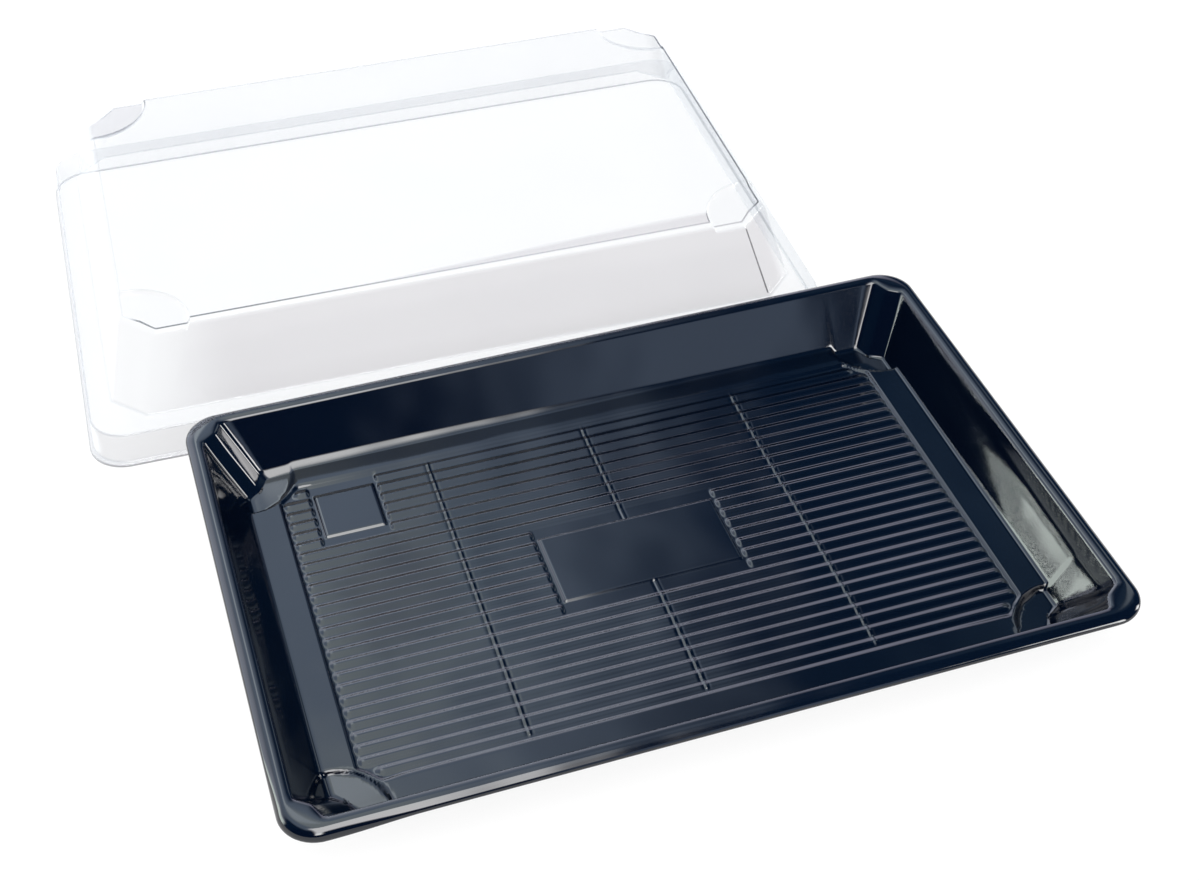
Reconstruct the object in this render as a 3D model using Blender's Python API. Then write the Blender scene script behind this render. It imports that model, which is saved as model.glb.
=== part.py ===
"""Takeaway sushi tray: a black formed tray with a bamboo-mat floor, and its clear domed lid behind it.

Both pieces are thin formed sheets. Each is two nested faces, an upper and an under one, joined along the
sheet's cut edge. Sizes below are in millimetres and become metres when a mesh is made. +Z is up and both
pieces stand on z = 0. The origin lies on the table under the middle of the box that holds both pieces.
"""
import math

import bmesh
import bpy
from mathutils import Matrix, Vector
from mathutils.geometry import delaunay_2d_cdt

MM = 0.001

# Tray, over its rolled lip
TRAY_LENGTH = 360.0
TRAY_WIDTH = 246.0
TRAY_HEIGHT = 27.4
TRAY_SHEET = 0.6
TRAY_CORNER_RADIUS = 16.0
LIP_DROP = 4.0
RIM_WIDTH = 7.7

# The rim's section from its cut edge to the wall: how far in, how far down, how much smaller the corner is,
# how flat the corner is, and the sheet's slope in degrees, 0 upright, 90 level and past it inwards
RIM_SECTIONS = (
    (0.0, LIP_DROP, 0.0, 0.0, 0),
    (0.3, LIP_DROP * 0.55, 0.3, 0.0, 15),
    (1.1, LIP_DROP * 0.18, 1.1, 0.0, 45),
    (2.4, 0.0, 2.4, 0.0, 78),
    (RIM_WIDTH - 1.5, 0.0, 3.0, 0.3, 96),
    (RIM_WIDTH - 0.5, 0.3, 4.0, 0.6, 120),
)

# Tray walls: how far the wall's foot stands in from the rim's inner edge, at the ends and at the long sides
WALL_RUN_ENDS = 12.8
WALL_RUN_SIDES = 14.5
WALL_TOP_DROP = 1.2
TRAY_DEPTH = 24.0
FILLET = 0.9
FILLET_RISE = 1.35
PILLAR_LEG_LENGTHWISE = 9.6
PILLAR_LEG_CROSSWISE = 11.6
PILLAR_BULGE = 1.2
PILLAR_BULGE_SHARE = 0.29

# Tray floor: a level band round a sunk field of ribs. Steps are (run, rise) up the side of a rib or plate
FIELD_LENGTH = 291.0
FIELD_WIDTH = 176.0
FIELD_CORNER = 9.0
FIELD_SINK = 1.6
FIELD_EDGE_RUN = 1.0
RIB_COUNT = 26
RIB_PITCH = 6.6
RIB_WIDTH = 5.7
RIB_STEPS = ((0.7, 0.8), (0.9, 0.5))
RIB_END_GAP = 0.7
PLATE_STEPS = ((0.6, 1.3),)
STRING_SPACING = 75.5
STRING_GAP = 2.2
CENTRE_PLATE = (-41.0, -20.0, 41.0, 20.0)
CORNER_PLATE = (-130.0, 51.0, -102.0, 78.5)
PLATE_GAP = 1.2

# Tray feet: a quarter-round recess at each corner of the floor
FOOT_RADIUS = 21.8
FOOT_WALL_GAP = 1.0
FOOT_DRAFT = 1.8

# Lid, over its bottom lip
LID_LENGTH = 368.0
LID_WIDTH = 254.0
LID_SHEET = 0.4
LID_CORNER_RADIUS = 18.0
LID_LIP_HEIGHT = 1.2
LID_LIP_WIDTH = 2.2
LID_LIP_DRAFT = 0.3
LID_LIP_RISE = 0.4
SKIRT_DRAFT = 0.5
LEDGE_HEIGHT = 16.9
LEDGE_WIDTH = 11.7
LEDGE_BEVEL = 0.8
DOME_HEIGHT = 41.4
DOME_RUN_ENDS = 11.5
DOME_RUN_SIDES = 12.4
DOME_CORNER_LEG = 15.1
PAD_RADIUS = 29.0
PAD_DROP = 2.6

# Where the lid's middle lies from the tray's middle, and its turn on the table
LID_SHIFT = (-35.8, 251.1)
LID_TURN = math.radians(-1.68)

ARC_STEPS = 7
FAN_STEPS = 8


def corner_curve(leg_x, leg_y, bend, steps=ARC_STEPS):
    """Points of one corner, from its X side to its Y side, as offsets from the sharp corner to the middle.

    A bend of 0 is a quarter ellipse, a bend of 1 is a flat chamfer between the same two ends, and more than
    1 bulges into the box.
    """
    points = []
    for step in range(steps + 1):
        angle = math.pi / 2 * step / steps
        share = step / steps
        round_x = leg_x * (1 - math.cos(angle))
        round_y = leg_y * (1 - math.sin(angle))
        flat_x = leg_x * share
        flat_y = leg_y * (1 - share)
        points.append((round_x + (flat_x - round_x) * bend, round_y + (flat_y - round_y) * bend))
    return points


def box_outline(half_x, half_y, leg_x, leg_y, bend, steps=ARC_STEPS):
    """Anticlockwise outline of a box with four like corners, from the +X side of the +X +Y corner."""
    corner = corner_curve(leg_x, leg_y, bend, steps)
    quarter = [(half_x - dx, half_y - dy) for dx, dy in corner]
    mirrored = [(-x, y) for x, y in reversed(quarter)]
    opposite = [(-x, -y) for x, y in quarter]
    last = [(x, -y) for x, y in reversed(quarter)]
    return quarter + mirrored + opposite + last


def ring(mesh, outline, height):
    """Adds a loop of vertices for an outline at one height."""
    return [mesh.verts.new((x * MM, y * MM, height * MM)) for x, y in outline]


def band(mesh, outer, inner):
    """Adds the quads between two loops of the same number of vertices, facing the inner loop's side."""
    count = len(outer)
    for index in range(count):
        following = (index + 1) % count
        mesh.faces.new((outer[index], outer[following], inner[following], inner[index]))


def level_face(mesh, outer, holes):
    """Fills a level outline with triangles, leaving the holes open, all facing up."""
    loops = [outer] + holes
    verts = [vert for loop in loops for vert in loop]
    flat = [Vector(vert.co.xy) for vert in verts]
    edges = []
    start = 0
    for loop in loops:
        size = len(loop)
        edges += [(start + index, start + (index + 1) % size) for index in range(size)]
        start += size
    points, _, faces, sources, _, _ = delaunay_2d_cdt(flat, edges, [], 0, 1e-7)
    for face in faces:
        middle = sum((points[index] for index in face), Vector((0, 0))) / len(face)
        if inside(middle, outer) and not any(inside(middle, hole) for hole in holes):
            mesh.faces.new([verts[sources[index][0]] for index in face])


def inside(point, loop):
    """Tells whether a point lies inside a loop of vertices, by counting crossings."""
    crossings = False
    previous = loop[-1].co
    for vert in loop:
        current = vert.co
        if (current.y > point.y) != (previous.y > point.y):
            edge = (previous.x - current.x) * (point.y - current.y) / (previous.y - current.y) + current.x
            if point.x < edge:
                crossings = not crossings
        previous = current
    return crossings


def miter(run, drop):
    """How far a slope's under face stands sideways from its upper face, as a share of the thickness.

    The under face is the upper one moved down by the thickness and sideways by this share of it, which
    keeps the sheet as thick on the slope as it is on the level.
    """
    return math.tan(math.atan2(drop, run) / 2)


def chamfer_spread(side_spread):
    """How much longer a chamfer's leg becomes when its sides and the chamfer all move out alike."""
    return (2 - math.sqrt(2)) * side_spread


def mound(mesh, box, base, steps, sheet):
    """Adds a flat-topped mound on a rectangle (x0, y0, x1, y1), in sloping steps of (run, rise).

    Its base loop is returned.
    """
    x0, y0, x1, y1 = box
    inset = miter(*steps[0]) * sheet
    height = base
    loops = []
    for run, rise in ((0.0, 0.0),) + steps:
        inset += run
        height += rise
        left, right = x0 + inset, x1 - inset
        front, back = y0 + inset, y1 - inset
        loops.append(ring(mesh, [(left, front), (right, front), (right, back), (left, back)], height))
    for outer, inner in zip(loops, loops[1:]):
        band(mesh, outer, inner)
    mesh.faces.new(loops[-1])
    return loops[0]


def string_places():
    """The three cross strings of the mat."""
    return [-STRING_SPACING, 0.0, STRING_SPACING]


def field_reach(y):
    """How far from the middle a rib may run at a place across the field, with the field's cut corners."""
    edge = FIELD_LENGTH / 2 - FIELD_EDGE_RUN
    cut = edge + FIELD_WIDTH / 2 - FIELD_EDGE_RUN - FIELD_CORNER - abs(y)
    return min(edge - RIB_END_GAP, cut - RIB_END_GAP * math.sqrt(2))


def rib_spans(y0, y1):
    """The stretches of one rib left by the strings and the plates."""
    reach = field_reach(max(abs(y0), abs(y1)))
    stops = [(x - STRING_GAP / 2, x + STRING_GAP / 2) for x in string_places()]
    for left, front, right, back in (CENTRE_PLATE, CORNER_PLATE):
        if y1 > front - RIB_END_GAP and y0 < back + RIB_END_GAP:
            stops.append((left - PLATE_GAP, right + PLATE_GAP))
    spans = []
    start = -reach
    for low, high in sorted(stops):
        if high <= start:
            continue
        if low > start:
            spans.append((start, low))
        start = high
    spans.append((start, reach))
    return spans


def fan_outline(radius, gap):
    """A quarter-round foot in the +X +Y corner of the floor: an arc about the corner, cut by the pillar."""
    corner_x = TRAY_LENGTH / 2 - RIM_WIDTH - WALL_RUN_ENDS - FILLET
    corner_y = TRAY_WIDTH / 2 - RIM_WIDTH - WALL_RUN_SIDES - FILLET
    first = math.asin(gap / radius)
    points = []
    for step in range(FAN_STEPS + 1):
        angle = first + (math.pi / 2 - 2 * first) * step / FAN_STEPS
        points.append((corner_x - radius * math.sin(angle), corner_y - radius * math.cos(angle)))
    pillar = gap + PILLAR_BULGE
    points.append((corner_x - PILLAR_LEG_LENGTHWISE - pillar, corner_y - gap))
    points.append((corner_x - gap, corner_y - PILLAR_LEG_CROSSWISE - pillar))
    return points


def foot_recess(mesh, mirror_x, mirror_y, floor, drop, sheet):
    """Adds one foot's sloping side and its level bottom, and returns the loop at floor level."""
    spread = miter(FOOT_DRAFT, drop) * sheet
    loops = []
    for inset, height in ((-spread, floor), (FOOT_DRAFT - spread, floor - drop)):
        fan = fan_outline(FOOT_RADIUS - inset, FOOT_WALL_GAP + inset)
        outline = [(x * mirror_x, y * mirror_y) for x, y in fan]
        if mirror_x * mirror_y > 0:
            outline.reverse()
        loops.append(ring(mesh, outline, height))
    band(mesh, loops[0], loops[1])
    mesh.faces.new(loops[1])
    return loops[0]


def rim_loops(mesh, sheet):
    """The rolled lip and the flat rim, each point of the under face set off square to the sheet's slope."""
    loops = []
    for inset, drop, corner_loss, bend, slope in RIM_SECTIONS:
        angle = math.radians(slope)
        inset += sheet * math.cos(angle)
        leg = TRAY_CORNER_RADIUS - corner_loss
        outline = box_outline(TRAY_LENGTH / 2 - inset, TRAY_WIDTH / 2 - inset, leg, leg, bend)
        loops.append(ring(mesh, outline, TRAY_HEIGHT - drop - sheet * math.sin(angle)))
    return loops


def wall_loops(mesh, sheet):
    """The four walls with the bulging pillars across their corners, down to the fillet at the floor."""
    floor = TRAY_HEIGHT - TRAY_DEPTH
    out_x = miter(WALL_RUN_ENDS, TRAY_DEPTH) * sheet
    out_y = miter(WALL_RUN_SIDES, TRAY_DEPTH) * sheet
    leg_x = PILLAR_LEG_LENGTHWISE + chamfer_spread(out_x)
    leg_y = PILLAR_LEG_CROSSWISE + chamfer_spread(out_x)
    bend = 1 + PILLAR_BULGE / (PILLAR_LEG_LENGTHWISE * PILLAR_BULGE_SHARE)
    sections = (
        (0.0, 0.0, TRAY_HEIGHT - WALL_TOP_DROP),
        (1.0, -FILLET, floor + FILLET_RISE),
        (1.0, FILLET, floor),
    )
    loops = []
    for share, inset, height in sections:
        half_x = TRAY_LENGTH / 2 - RIM_WIDTH - WALL_RUN_ENDS * share - inset + out_x
        half_y = TRAY_WIDTH / 2 - RIM_WIDTH - WALL_RUN_SIDES * share - inset + out_y
        loops.append(ring(mesh, box_outline(half_x, half_y, leg_x, leg_y, bend), height - sheet))
    return loops


def tray_face(mesh, sheet):
    """One face of the tray's sheet: the upper one with a sheet of 0, the under one with its thickness.

    Its loop at the lip's cut edge is returned.
    """
    loops = rim_loops(mesh, sheet) + wall_loops(mesh, sheet)
    for outer, inner in zip(loops, loops[1:]):
        band(mesh, outer, inner)

    floor = TRAY_HEIGHT - TRAY_DEPTH - sheet
    foot_drop = TRAY_HEIGHT - TRAY_DEPTH - TRAY_SHEET
    feet = [foot_recess(mesh, mx, my, floor, foot_drop, sheet) for mx in (1, -1) for my in (1, -1)]
    spread = miter(FIELD_EDGE_RUN, FIELD_SINK) * sheet
    half_x = FIELD_LENGTH / 2 + spread
    half_y = FIELD_WIDTH / 2 + spread
    leg = FIELD_CORNER + chamfer_spread(spread)
    valley = floor - FIELD_SINK
    brink = ring(mesh, box_outline(half_x, half_y, leg, leg, 1.0, 1), floor)
    foot_x = half_x - FIELD_EDGE_RUN
    foot_y = half_y - FIELD_EDGE_RUN
    sunk = ring(mesh, box_outline(foot_x, foot_y, leg, leg, 1.0, 1), valley)
    level_face(mesh, loops[-1], feet + [brink])
    band(mesh, brink, sunk)

    mounds = [mound(mesh, plate, valley, PLATE_STEPS, sheet) for plate in (CENTRE_PLATE, CORNER_PLATE)]
    first_rib = -RIB_PITCH * (RIB_COUNT - 1) / 2
    for number in range(RIB_COUNT):
        y0 = first_rib + RIB_PITCH * number - RIB_WIDTH / 2
        y1 = y0 + RIB_WIDTH
        for x0, x1 in rib_spans(y0, y1):
            mounds.append(mound(mesh, (x0, y0, x1, y1), valley, RIB_STEPS, sheet))
    level_face(mesh, sunk, mounds)
    return loops[0]


def nested_sheet(mesh, face, sheet):
    """A closed sheet: its upper face, its under face turned the other way, and the cut edge between them."""
    upper = face(mesh, 0.0)
    above = set(mesh.faces)
    under = face(mesh, sheet)
    bmesh.ops.reverse_faces(mesh, faces=[found for found in mesh.faces if found not in above])
    band(mesh, under, upper)


def notch_arc(half_x, half_y, radius):
    """The +X +Y corner notch of the lid's top: a quarter circle about the sharp corner, from the X side."""
    points = []
    for step in range(ARC_STEPS + 1):
        angle = math.pi / 2 * step / ARC_STEPS
        points.append((half_x - radius * math.sin(angle), half_y - radius * math.cos(angle)))
    return points


def mirrored_ring(mesh, points, mirror_x, mirror_y, height):
    """A row of vertices mirrored into one corner, always anticlockwise."""
    row = ring(mesh, [(x * mirror_x, y * mirror_y) for x, y in points], height)
    if mirror_x * mirror_y < 0:
        row.reverse()
    return row


def lid_face(mesh, sheet):
    """One face of the lid's film: the outside with a sheet of 0, the inside with the film's thickness.

    The inside is the same form moved in by the thickness on upright parts and down by it on level parts.
    Its bottom loop is returned.
    """
    half_x = LID_LENGTH / 2 - sheet
    half_y = LID_WIDTH / 2 - sheet
    radius = LID_CORNER_RADIUS - sheet
    skirt = LID_LIP_WIDTH + SKIRT_DRAFT
    sections = (
        (0.0, 0.0, 0.0),
        (LID_LIP_DRAFT, LID_LIP_HEIGHT - sheet, 0.0),
        (LID_LIP_WIDTH, LID_LIP_HEIGHT + LID_LIP_RISE - sheet, 1.0),
        (skirt, LEDGE_HEIGHT - LEDGE_BEVEL - sheet, 1.0),
        (skirt + LEDGE_BEVEL, LEDGE_HEIGHT - sheet, 2.0),
    )
    loops = []
    for inset, height, corner_loss in sections:
        leg = radius - corner_loss
        loops.append(ring(mesh, box_outline(half_x - inset, half_y - inset, leg, leg, 0.0), height))
    inwards = miter(DOME_RUN_ENDS, DOME_HEIGHT) * sheet
    foot_x = LID_LENGTH / 2 - skirt - LEDGE_WIDTH - inwards
    foot_y = LID_WIDTH / 2 - skirt - LEDGE_WIDTH - inwards
    leg = DOME_CORNER_LEG - chamfer_spread(inwards)
    foot = ring(mesh, box_outline(foot_x, foot_y, leg, leg, 1.0), LEDGE_HEIGHT - sheet)
    loops.append(foot)
    for outer, inner in zip(loops, loops[1:]):
        band(mesh, outer, inner)

    top = LEDGE_HEIGHT + DOME_HEIGHT - sheet
    pad = top - PAD_DROP
    top_x = foot_x - DOME_RUN_ENDS
    top_y = foot_y - DOME_RUN_SIDES
    pad_x = top_x + DOME_RUN_ENDS * PAD_DROP / DOME_HEIGHT
    pad_y = top_y + DOME_RUN_SIDES * PAD_DROP / DOME_HEIGHT
    high = notch_arc(top_x, top_y, PAD_RADIUS)
    low = [(pad_x, high[0][1])] + high[1:-1] + [(high[-1][0], pad_y)]
    facet = [(pad_x - dx, pad_y - dy) for dx, dy in corner_curve(leg, leg, 1.0)]

    corners = []
    for mirror_x, mirror_y in ((1, 1), (-1, 1), (-1, -1), (1, -1)):
        arc_high = mirrored_ring(mesh, high, mirror_x, mirror_y, top)
        arc_low = mirrored_ring(mesh, low, mirror_x, mirror_y, pad)
        rim = mirrored_ring(mesh, facet, mirror_x, mirror_y, pad)
        corners.append((arc_high, arc_low, rim))
        for index in range(ARC_STEPS):
            mesh.faces.new((arc_low[index], arc_low[index + 1], arc_high[index + 1], arc_high[index]))
        mesh.faces.new(rim + list(reversed(arc_low)))

    size = ARC_STEPS + 1
    for number, (arc_high, arc_low, rim) in enumerate(corners):
        following = (number + 1) % 4
        next_high, next_low, next_rim = corners[following]
        base = foot[number * size:(number + 1) * size]
        next_base = foot[following * size]
        for index in range(ARC_STEPS):
            mesh.faces.new((base[index], base[index + 1], rim[index + 1], rim[index]))
        wall_top = (next_rim[0], next_low[0], next_high[0], arc_high[-1], arc_low[-1], rim[-1])
        mesh.faces.new((base[-1], next_base) + wall_top)
    mesh.faces.new([vert for arc_high, _, _ in corners for vert in arc_high])
    return loops[0]


def formed_object(name, face, sheet, material):
    """Makes a closed sheet object from the function that draws its faces."""
    mesh = bmesh.new()
    nested_sheet(mesh, face, sheet)
    bmesh.ops.triangulate(mesh, faces=[found for found in mesh.faces if len(found.verts) > 4])
    data = bpy.data.meshes.new(name)
    mesh.to_mesh(data)
    mesh.free()
    data.materials.append(material)
    formed = bpy.data.objects.new(name, data)
    bpy.context.scene.collection.objects.link(formed)
    return formed


def plastic(name, colour, roughness, alpha):
    """A plastic material with one colour."""
    material = bpy.data.materials.new(name)
    material.use_nodes = True
    shader = material.node_tree.nodes["Principled BSDF"]
    shader.inputs["Base Color"].default_value = (*colour, 1.0)
    shader.inputs["Roughness"].default_value = roughness
    shader.inputs["Alpha"].default_value = alpha
    return material


def common_middle():
    """The middle of the box round the tray's and the turned lid's outlines, from the tray's middle."""
    tray = box_outline(TRAY_LENGTH / 2, TRAY_WIDTH / 2, TRAY_CORNER_RADIUS, TRAY_CORNER_RADIUS, 0.0)
    lid = box_outline(LID_LENGTH / 2, LID_WIDTH / 2, LID_CORNER_RADIUS, LID_CORNER_RADIUS, 0.0)
    cosine = math.cos(LID_TURN)
    sine = math.sin(LID_TURN)
    turned = [(x * cosine - y * sine + LID_SHIFT[0], x * sine + y * cosine + LID_SHIFT[1]) for x, y in lid]
    every = tray + turned
    across = [x for x, _ in every]
    along = [y for _, y in every]
    return (min(across) + max(across)) / 2, (min(along) + max(along)) / 2


def main():
    for old in list(bpy.data.objects):
        bpy.data.objects.remove(old, do_unlink=True)
    middle_x, middle_y = common_middle()
    black = plastic("glossy black plastic", (0.006, 0.009, 0.016), 0.12, 1.0)
    clear = plastic("clear plastic", (0.90, 0.92, 0.92), 0.05, 0.30)
    tray = formed_object("tray", tray_face, TRAY_SHEET, black)
    tray.location = (-middle_x * MM, -middle_y * MM, 0.0)
    lid = formed_object("lid", lid_face, LID_SHEET, clear)
    place = Matrix.Translation(((LID_SHIFT[0] - middle_x) * MM, (LID_SHIFT[1] - middle_y) * MM, 0.0))
    lid.matrix_world = place @ Matrix.Rotation(LID_TURN, 4, "Z")


main()
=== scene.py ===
"""A takeaway sushi tray of glossy black formed plastic with its clear domed lid lying behind it.

Both pieces are thin formed sheets, worked out as surfaces with numpy. Lengths are in millimetres until a
mesh is made. The tray's and the lid's own middles are the zero of their shapes, and each is then moved to
its place.
"""
import math

import bpy
import numpy as np
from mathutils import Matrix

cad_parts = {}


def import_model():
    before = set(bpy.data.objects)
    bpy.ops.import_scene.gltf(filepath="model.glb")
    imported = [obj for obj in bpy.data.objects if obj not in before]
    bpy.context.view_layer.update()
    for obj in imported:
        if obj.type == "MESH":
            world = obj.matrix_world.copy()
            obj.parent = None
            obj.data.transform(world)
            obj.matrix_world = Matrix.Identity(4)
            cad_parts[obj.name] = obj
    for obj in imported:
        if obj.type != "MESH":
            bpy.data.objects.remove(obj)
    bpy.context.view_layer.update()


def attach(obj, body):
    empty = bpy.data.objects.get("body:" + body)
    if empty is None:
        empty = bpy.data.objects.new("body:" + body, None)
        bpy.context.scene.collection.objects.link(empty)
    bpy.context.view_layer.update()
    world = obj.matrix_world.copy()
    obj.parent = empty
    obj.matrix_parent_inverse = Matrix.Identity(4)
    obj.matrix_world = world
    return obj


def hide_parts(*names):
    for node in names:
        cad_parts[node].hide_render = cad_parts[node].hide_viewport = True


MM = 0.001

# Tray, over its rolled lip
TRAY_HALF = np.array([180.0, 123.0])
TRAY_HEIGHT = 27.4
TRAY_SHEET = 0.6
TRAY_MIDDLE = (21.458, -129.956)
RIM_WIDTH = 7.7
WALL_RUN = np.array([12.8, 14.5])
TRAY_DEPTH = 24.0
# How far the end walls bow outwards, how much more by the front right corner, and how far up they bow most
WALL_BOW = (0.3, 1.1)
BOW_PEAK = 0.74
FLOOR_FILLET = 2.6
# The strip that eases the wall's foot: its least and greatest reach, and its rise for each unit of reach
STRIP_REACH = (0.9, 2.3)
STRIP_SLOPE = 0.736
# The corner pillars: their reach along each side, how many times that at the top, and their middle fold
PILLAR_LEGS = np.array([9.6, 11.6])
PILLAR_SPREAD = 1.03
PILLAR_FOLD = 2.0
# How far from the sides the floor's lines bend round a corner, and from where they turn square again
PILLAR_ZONE = 15.0
PILLAR_SQUARE = 11.0
# How far to either side of its end a corner curve is rounded off
CREASE = 0.9

# Rim from its cut edge to the wall's top: inset, drop below the top, corner leg, how flat the corner is
RIM_PROFILE = (
    (0.70, 4.0, 15.4, 0.0),
    (0.28, 3.85, 15.8, 0.0),
    (0.05, 3.45, 16.0, 0.0),
    (0.04, 2.85, 15.9, 0.0),
    (0.20, 2.25, 15.7, 0.0),
    (0.55, 1.72, 15.4, 0.0),
    (1.05, 1.28, 15.1, 0.0),
    (1.75, 0.86, 14.8, 0.0),
    (2.55, 0.47, 14.4, 0.03),
    (3.40, 0.15, 14.1, 0.08),
    (4.20, 0.03, 13.7, 0.12),
    (5.00, 0.07, 13.3, 0.18),
    (5.90, 0.21, 12.9, 0.24),
    (6.60, 0.37, 12.6, 0.32),
    (6.95, 0.50, 12.4, 0.4),
    (7.25, 0.69, 12.2, 0.47),
    (7.55, 0.98, 12.0, 0.6),
    (7.85, 1.50, 11.6, 0.85),
)
# How much steeper the rim slopes inwards at the right end than at the middle, and gentler at the left end
RIM_TWIST = 0.03
# The inset past which that slope starts
RIM_CREST = 3.3
# How far the lip hangs by the front left corner, and how far that hump reaches along both sides
LIP_HANG = 1.7
LIP_HANG_REACH = (34, 26)

# Tray floor, with heights below the level band
FIELD_HALF = np.array([145.5, 88.0])
FIELD_CORNER = 9.0
FIELD_SINK = 1.15
FIELD_EDGE = (1.3, 3.2)
RIB_COUNT = 26
RIB_PITCH = 6.6
RIB_CREST = -0.3
RIB_VALLEY = -1.15
RIB_END = 2.6
RIB_END_AT_PLATE = 1.0
RIB_END_GAP = 0.8
STRING_SPACING = 75.5
STRING_HALF = 0.6
STRING_RISE = 0.3
STRING_DIP = 0.1
PLATE_TOP = -0.25
PLATE_MOAT = -0.62
PLATE_EDGE = 1.0
PLATE_GAP = 1.2
CENTRE_PLATE = (-41.0, -20.0, 41.0, 20.0)
CORNER_PLATE = (-130.0, 51.0, -102.0, 78.5)
FOOT_RADIUS = 21.8
FOOT_DRAFT = 2.0
FOOT_DROP = 2.8
# How much the left feet rise for each millimetre away from the left wall and the front
FOOT_TILT = (0.04, 0.055)

# Lid, over its bottom lip
LID_HALF = np.array([184.0, 127.0])
LID_SHEET = 0.4
LID_MIDDLE = (-14.342, 121.144)
LID_TURN = math.radians(-1.68)
LEDGE_HEIGHT = 16.9
DOME_FOOT_INSET = 14.4
DOME_HEIGHT = 41.4
DOME_RUN = np.array([11.5, 12.4])
DOME_LEG = 15.1
PAD_RADIUS = 29.0
PAD_DROP = 2.6
PAD_DRAFT = 1.3
PAD_ZONE = 46.0
PAD_SQUARE = 31.0
# How much lower the top is at its edge than in its middle
LID_CROWN = 0.5
DOME_FILLET = 2.6
LEDGE_BEND = 1.1
# Where the lid top's grid lines lie, from its edge inwards: close at the creases and at the pads' risers
LID_LINES = np.array([
    0.0, 0.7, 1.5, 3.0, 5.0, 7.0, 9.0, 11.0, 12.3, 12.9, 13.2, 13.4, 13.6, 13.8, 14.0, 14.3, 15.0, 17.0, 20.0,
    23.0, 25.5, 27.0, 27.6, 27.9, 28.15, 28.4, 28.65, 28.85, 29.0, 29.15, 29.4, 29.8, 30.6, 32.0, 35.0, 39.0,
    43.0, 46.0, 52.0,
])
# The dome's upper edge: each ring's share of the way from the top to the wall, and how dark its painted line
# is
EDGE_RINGS = (
    (0.02, 0.5),
    (0.05, 1.0),
    (0.12, 1.0),
    (0.17, 0.0),
    (0.3, 0.0),
    (0.5, 0.0),
    (0.7, 0.0),
    (0.88, 0.0),
    (1.0, 0.0),
)
# The dome's foot: each ring's share of the way from the wall to the ledge, and how dark its painted line is
HEEL_RINGS = ((0.0, 0.0), (0.25, 0.4), (0.5, 1.0), (0.75, 0.4), (1.0, 0.0))
# Ledge, skirt and lip: inset, drop below the ledge, corner leg, how flat the corner is, line, greyness;
# the line and the greyness are painted shade
SKIRT_RINGS = (
    (13.0, 0.0, 15.5, 0.9, 0.0, 0.0),
    (8.5, 0.0, 15.8, 0.4, 0.0, 0.0),
    (4.6, 0.0, 16.0, 0.1, 0.0, 0.0),
    (4.0, 0.0, 16.0, 0.0, 0.0, 0.1),
    (3.5, 0.08, 16.3, 0.0, 0.15, 0.2),
    (3.1, 0.3, 16.6, 0.0, 0.3, 0.4),
    (2.85, 0.65, 16.8, 0.0, 0.1, 0.7),
    (2.72, 1.1, 16.9, 0.0, 0.0, 0.8),
    (2.6, 3.0, 16.9, 0.0, 0.0, 0.8),
    (2.35, 11.0, 16.9, 0.0, 0.0, 0.8),
    (2.22, 14.2, 16.9, 0.0, 0.0, 0.8),
    (2.15, 14.9, 16.9, 0.0, 0.05, 0.8),
    (1.85, 15.3, 17.1, 0.0, 0.2, 0.5),
    (1.2, 15.5, 17.5, 0.0, 0.05, 0.4),
    (0.55, 15.6, 17.8, 0.0, 0.05, 0.5),
    (0.15, 15.9, 18.0, 0.0, 0.25, 0.8),
    (0.0, 16.4, 18.0, 0.0, 0.45, 1.0),
    (0.0, LEDGE_HEIGHT, 18.0, 0.0, 0.45, 1.0),
)
# How far inwards from a side its facing fades out, and how far from a painted hairline it has faded to 0.37
FACING_REACH = 12
LINE_HALF = 0.3

# The camera, fitted to the photograph's straight edges
CAMERA_PLACE = (-0.16829, -0.66603, 0.58200)
CAMERA_TURN = (47.8445, 0.4758, -18.1941)
CAMERA_LENS = 55.158

# How bright the soft light is, and how much of the table's white is its own glow
SOFT_LIGHT = 1.0
TABLE_GLOW = 0.84
TABLE_SHADE = "#6B6B6B"

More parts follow.
